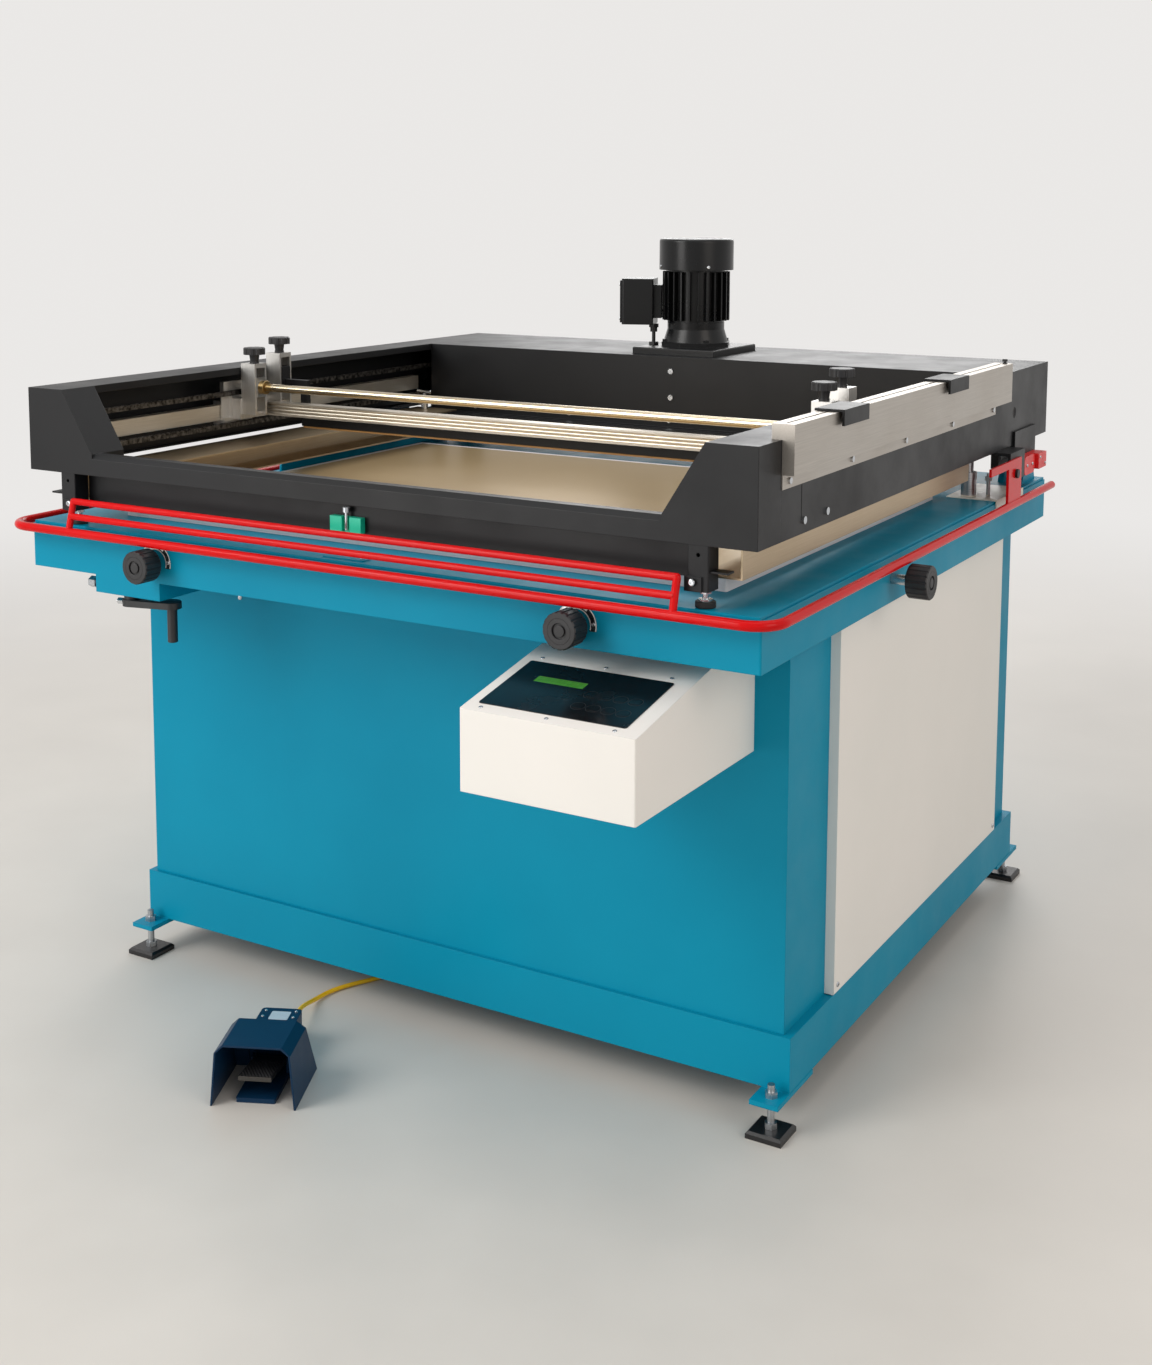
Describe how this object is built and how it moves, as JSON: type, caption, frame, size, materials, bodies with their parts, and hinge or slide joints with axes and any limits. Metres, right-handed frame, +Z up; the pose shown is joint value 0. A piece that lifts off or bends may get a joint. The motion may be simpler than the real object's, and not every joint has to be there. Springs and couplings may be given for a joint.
{
  "type": "screen printing press",
  "caption": "Flat-bed screen printing press: steel cabinet and table, clamshell head with a motor-driven squeegee carriage, red safety rail and corded foot pedal.",
  "frame": {"origin": "middle of the footprint on the floor, measured without the pedal's cord", "axes": "+X to the right seen from the front, +Y to the back, +Z up out of the printing bed"},
  "size_m": [1.572, 1.6672, 1.3955],
  "materials": {
    "teal_paint": "satin powder coat",
    "cream_paint": "satin powder coat",
    "black_paint": "fine textured powder coat",
    "red_paint": "gloss paint",
    "navy_paint": "semi-gloss paint",
    "steel": "brushed",
    "chrome": "polished",
    "aluminium": "satin",
    "bed_face": "hard anodised, semi-gloss",
    "cast_iron": "painted",
    "black_plastic": "matt",
    "green_plastic": "matt",
    "red_plastic": "gloss",
    "keypad_film": "semi-gloss film",
    "display_glass": "clear",
    "rubber": "matt",
    "blade": "matt",
    "cord": "semi-gloss sheath"
  },
  "bodies": {
    "base": {"plinth": "teal_paint", "levelling_feet": "steel", "cabinet_shell": "teal_paint", "side_panel": "cream_paint", "table_frame": "teal_paint", "table_plate": "teal_paint", "knob_bushes": "chrome", "hinge_pins": "steel", "control_box": "cream_paint", "keypad": "keypad_film", "display_window": "display_glass", "rear_rest": "steel", "pedal_base": "navy_paint", "pedal_hood": "navy_paint", "cord_glands": "black_plastic", "pedal_cord": "cord"},
    "cross_slide": {"cross_slide": "steel"},
    "bed": {"bed_rim": "aluminium", "bed_plate": "bed_face"},
    "register_left": {"register_knob_left": "black_plastic"},
    "register_right": {"register_knob_right": "black_plastic"},
    "register_side": {"register_knob_side": "black_plastic"},
    "crank": {"crank": "cast_iron"},
    "crank_grip": {"crank_grip": "black_plastic"},
    "head": {"front_fascia": "black_paint", "side_boxes": "black_paint", "rear_box": "black_paint", "head_screws": "chrome", "stop_discs": "rubber", "head_brackets": "black_paint", "guide_bars": "steel", "drive_chains": "steel", "gearbox": "cast_iron", "motor_body": "aluminium", "motor_cowl": "black_paint", "terminal_box": "aluminium", "motor_cable": "black_plastic", "rail_cover": "steel", "front_clamp": "green_plastic", "hinge_switch": "red_plastic"},
    "drive_shaft": {"drive_shaft": "steel"},
    "front_idlers": {"front_idlers": "steel"},
    "stroke_front": {"stroke_bracket_front": "black_paint"},
    "stroke_rear": {"stroke_bracket_rear": "black_paint"},
    "holder_left": {"screen_holder_left": "steel"},
    "holder_right": {"screen_holder_right": "steel"},
    "clamp_left": {"holder_clamp_left": "steel"},
    "clamp_right": {"holder_clamp_right": "steel"},
    "carriage": {"carriage_sides": "steel", "cross_beam": "aluminium"},
    "rod_set": {"upper_rod": "chrome"},
    "squeegee": {"squeegee_bar": "black_paint", "squeegee_blade": "blade"},
    "knob_front_left": {"setting_knob_front_left": "black_plastic"},
    "knob_front_right": {"setting_knob_front_right": "black_plastic"},
    "knob_rear_left": {"setting_knob_rear_left": "black_plastic"},
    "knob_rear_right": {"setting_knob_rear_right": "black_plastic"},
    "safety_rail": {"safety_rail": "red_paint"},
    "treadle": {"treadle": "black_paint"}
  },
  "joints": [
    {"name": "head_hinge", "type": "hinge", "parent": "base", "child": "head", "pos_m": [-0.016, 0.73815, 0.948], "axis": [-1, 0, 0], "range_deg": [0, 40]},
    {"name": "bed_y", "type": "slide", "parent": "base", "child": "cross_slide", "axis": [0, 1, 0], "range_m": [-0.008, 0.008]},
    {"name": "bed_x", "type": "slide", "parent": "cross_slide", "child": "bed", "axis": [1, 0, 0], "range_m": [-0.008, 0.008]},
    {"name": "register_left_turn", "type": "hinge", "parent": "base", "child": "register_left", "pos_m": [-0.444, -0.70485, 0.848], "axis": [0, 1, 0], "range_deg": [-961, 961]},
    {"name": "register_right_turn", "type": "hinge", "parent": "base", "child": "register_right", "pos_m": [0.412, -0.70485, 0.848], "axis": [0, 1, 0], "range_deg": [-961, 961]},
    {"name": "register_side_turn", "type": "hinge", "parent": "base", "child": "register_side", "pos_m": [0.786, -0.12185, 0.852], "axis": [1, 0, 0], "range_deg": [-961, 961]},
    {"name": "crank_turn", "type": "hinge", "parent": "base", "child": "crank", "pos_m": [-0.528, -0.62685, 0.78], "axis": [0, 0, 1], "continuous": true},
    {"name": "grip_spin", "type": "hinge", "parent": "crank", "child": "crank_grip", "pos_m": [-0.45038, -0.6075, 0.72], "axis": [0, 0, 1], "continuous": true},
    {"name": "carriage_travel", "type": "slide", "parent": "head", "child": "carriage", "axis": [0, 1, 0], "range_m": [-0.365, 0.495]},
    {"name": "shaft_spin", "type": "hinge", "parent": "head", "child": "drive_shaft", "pos_m": [-0.016, 0.58265, 1.0575], "axis": [1, 0, 0], "range_deg": [-900, 660]},
    {"name": "idler_spin", "type": "hinge", "parent": "head", "child": "front_idlers", "pos_m": [-0.016, -0.60985, 1.0575], "axis": [1, 0, 0], "range_deg": [-900, 660]},
    {"name": "set_front_left", "type": "hinge", "parent": "carriage", "child": "knob_front_left", "pos_m": [-0.6355, -0.15985, 1.15], "axis": [0, 0, 1], "range_deg": [0, 2882]},
    {"name": "set_front_right", "type": "hinge", "parent": "carriage", "child": "knob_front_right", "pos_m": [0.6035, -0.15985, 1.15], "axis": [0, 0, 1], "range_deg": [0, 2882]},
    {"name": "rod_height", "type": "slide", "parent": "carriage", "child": "rod_set", "axis": [0, 0, 1], "range_m": [-0.012, 0]},
    {"name": "set_rear_left", "type": "hinge", "parent": "carriage", "child": "knob_rear_left", "pos_m": [-0.6355, -0.08185, 1.166], "axis": [0, 0, 1], "range_deg": [0, 2882]},
    {"name": "set_rear_right", "type": "hinge", "parent": "carriage", "child": "knob_rear_right", "pos_m": [0.6035, -0.08185, 1.166], "axis": [0, 0, 1], "range_deg": [0, 2882]},
    {"name": "squeegee_height", "type": "slide", "parent": "carriage", "child": "squeegee", "axis": [0, 0, 1], "range_m": [-0.012, 0]},
    {"name": "rail_lift", "type": "hinge", "parent": "head", "child": "safety_rail", "pos_m": [-0.016, 0.48315, 0.95], "axis": [-1, 0, 0], "range_deg": [0, 0.7]},
    {"name": "holder_left_slide", "type": "slide", "parent": "head", "child": "holder_left", "axis": [1, 0, 0], "range_m": [0, 0.2]},
    {"name": "holder_right_slide", "type": "slide", "parent": "head", "child": "holder_right", "axis": [-1, 0, 0], "range_m": [0, 0.2]},
    {"name": "clamp_left_turn", "type": "hinge", "parent": "holder_left", "child": "clamp_left", "pos_m": [-0.657, 0.46415, 0.9905], "axis": [0, 0, 1], "range_deg": [0, 360]},
    {"name": "clamp_right_turn", "type": "hinge", "parent": "holder_right", "child": "clamp_right", "pos_m": [0.625, 0.46415, 0.9905], "axis": [0, 0, 1], "range_deg": [0, 360]},
    {"name": "stroke_front_slide", "type": "slide", "parent": "head", "child": "stroke_front", "axis": [0, 1, 0], "range_m": [-0.14, 0.17]},
    {"name": "stroke_rear_slide", "type": "slide", "parent": "head", "child": "stroke_rear", "axis": [0, 1, 0], "range_m": [-0.17, 0.28]},
    {"name": "treadle_press", "type": "hinge", "parent": "base", "child": "treadle", "pos_m": [-0.1594, -0.70191, 0.026], "axis": [0.9107, 0.4131, 0], "range_deg": [0, 9], "stiffness_Nm_per_rad": 4, "springref_deg": -8.59}
  ],
  "couplings": [
    {"joint": "register_left_turn", "follows": "bed_y", "rad_per_m": 2094.4},
    {"joint": "register_right_turn", "follows": "bed_y", "rad_per_m": 2094.4},
    {"joint": "register_side_turn", "follows": "bed_x", "rad_per_m": 2094.4},
    {"joint": "shaft_spin", "follows": "carriage_travel", "rad_per_m": -30.723},
    {"joint": "idler_spin", "follows": "carriage_travel", "rad_per_m": -30.723},
    {"joint": "set_front_left", "follows": "rod_height", "rad_per_m": -4188.8},
    {"joint": "set_front_right", "follows": "rod_height", "rad_per_m": -4188.8},
    {"joint": "set_rear_left", "follows": "squeegee_height", "rad_per_m": -4188.8},
    {"joint": "set_rear_right", "follows": "squeegee_height", "rad_per_m": -4188.8}
  ]
}
